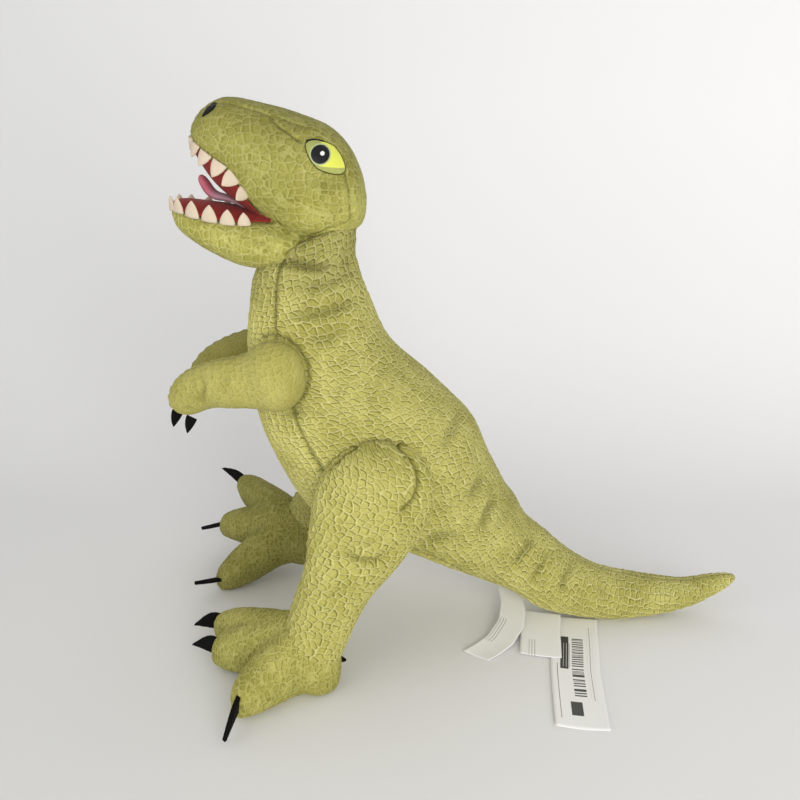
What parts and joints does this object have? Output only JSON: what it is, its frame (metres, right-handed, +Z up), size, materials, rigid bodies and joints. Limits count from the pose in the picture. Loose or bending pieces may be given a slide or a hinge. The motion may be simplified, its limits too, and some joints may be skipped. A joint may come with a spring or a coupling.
{
  "type": "stuffed dinosaur",
  "caption": "Standing two-legged plush dinosaur with an open toothed mouth, short arms, felt claws and a long tail that rests on the floor.",
  "frame": {"origin": "on the floor under the middle of the toy's box", "axes": "+Z up, nose towards -X, tail towards +X, the animal's left side towards -Y"},
  "size_m": [0.4621, 0.3082, 0.3983],
  "materials": {
    "plush_body": "embossed short-pile plush",
    "plush_head": "embossed short-pile plush",
    "plush_foot": "embossed short-pile plush",
    "mouth_fabric": "smooth knit",
    "tooth_felt": "felt",
    "claw_felt": "felt",
    "tongue_felt": "felt",
    "eye_embroidery": "satin stitch",
    "nostril_embroidery": "satin stitch",
    "label_ribbon": "woven ribbon",
    "stuffing": "loose fibre"
  },
  "bodies": {
    "torso": {"torso_stuffing": "stuffing", "left_side_panel": "plush_body", "right_side_panel": "plush_body", "belly_panel": "plush_body", "neck_sleeve": "plush_body", "tail_root_sleeve": "plush_body"},
    "head": {"head_stuffing": "stuffing", "head_side_left": "plush_head", "head_side_right": "plush_head", "head_top_gusset": "plush_head", "upper_mouth_lining": "mouth_fabric", "upper_teeth": "tooth_felt", "eye_left": "eye_embroidery", "eye_right": "eye_embroidery", "nostril_left": "nostril_embroidery", "nostril_right": "nostril_embroidery"},
    "jaw": {"jaw_stuffing": "stuffing", "jaw_skin": "plush_head", "lower_mouth_lining": "mouth_fabric", "lower_teeth": "tooth_felt"},
    "tongue": {"tongue": "tongue_felt"},
    "tail": {"tail_stuffing": "stuffing", "tail_skin_left": "plush_body", "tail_skin_right": "plush_body"},
    "left_arm": {"left_arm_stuffing": "stuffing", "left_arm_skin": "plush_body", "left_hand_claws": "claw_felt"},
    "right_arm": {"right_arm_stuffing": "stuffing", "right_arm_skin": "plush_body", "right_hand_claws": "claw_felt"},
    "left_leg": {"left_leg_stuffing": "stuffing", "left_leg_skin": "plush_body", "left_ankle_cuff": "plush_body"},
    "right_leg": {"right_leg_stuffing": "stuffing", "right_leg_skin": "plush_body", "right_ankle_cuff": "plush_body"},
    "left_foot": {"left_foot_stuffing": "stuffing", "left_foot_skin": "plush_foot", "left_sole": "plush_foot", "left_foot_claws": "claw_felt"},
    "right_foot": {"right_foot_stuffing": "stuffing", "right_foot_skin": "plush_foot", "right_sole": "plush_foot", "right_foot_claws": "claw_felt"},
    "labels": {"care_label": "label_ribbon", "size_label": "label_ribbon", "loop_label": "label_ribbon"}
  },
  "joints": [
    {"name": "neck_nod", "type": "hinge", "parent": "torso", "child": "head", "pos_m": [-0.1076, 0.0073, 0.303], "axis": [0, 1, 0], "range_deg": [-8, 8], "stiffness_Nm_per_rad": 3, "deforming": ["neck_sleeve"]},
    {"name": "jaw_squeeze", "type": "hinge", "parent": "head", "child": "jaw", "pos_m": [-0.1246, 0.0073, 0.306], "axis": [0, 1, 0], "range_deg": [-6, 4], "stiffness_Nm_per_rad": 0.6},
    {"name": "tongue_flex", "type": "hinge", "parent": "jaw", "child": "tongue", "pos_m": [-0.1566, 0.0073, 0.332], "axis": [0, 1, 0], "range_deg": [-3, 2], "stiffness_Nm_per_rad": 0.02},
    {"name": "left_shoulder", "type": "hinge", "parent": "torso", "child": "left_arm", "pos_m": [-0.1366, -0.0286, 0.223], "axis": [0, 1, 0], "range_deg": [-20, 25], "stiffness_Nm_per_rad": 0.4},
    {"name": "right_shoulder", "type": "hinge", "parent": "torso", "child": "right_arm", "pos_m": [-0.1366, 0.0432, 0.223], "axis": [0, 1, 0], "range_deg": [-20, 25], "stiffness_Nm_per_rad": 0.4},
    {"name": "left_hip", "type": "hinge", "parent": "torso", "child": "left_leg", "pos_m": [-0.0626, -0.0377, 0.13], "axis": [0, 1, 0], "range_deg": [-8, 8], "stiffness_Nm_per_rad": 8},
    {"name": "right_hip", "type": "hinge", "parent": "torso", "child": "right_leg", "pos_m": [-0.0626, 0.0523, 0.13], "axis": [0, 1, 0], "range_deg": [-8, 8], "stiffness_Nm_per_rad": 8},
    {"name": "left_ankle", "type": "hinge", "parent": "left_leg", "child": "left_foot", "pos_m": [-0.1026, -0.0777, 0.043], "axis": [0, 1, 0], "range_deg": [-8, 8], "stiffness_Nm_per_rad": 4, "deforming": ["left_ankle_cuff"]},
    {"name": "right_ankle", "type": "hinge", "parent": "right_leg", "child": "right_foot", "pos_m": [-0.1276, 0.0823, 0.047], "axis": [0, 1, 0], "range_deg": [-8, 8], "stiffness_Nm_per_rad": 4, "deforming": ["right_ankle_cuff"]},
    {"name": "tail_wag", "type": "hinge", "parent": "torso", "child": "tail", "pos_m": [0.0414, 0.0073, 0.053], "axis": [0, 0, 1], "range_deg": [-12, 12], "stiffness_Nm_per_rad": 3, "deforming": ["tail_root_sleeve"]},
    {"name": "label_flap", "type": "hinge", "parent": "tail", "child": "labels", "pos_m": [0.0754, 0.0013, 0.006], "axis": [-1, 0, 0], "range_deg": [0, 4], "stiffness_Nm_per_rad": 0.002}
  ]
}
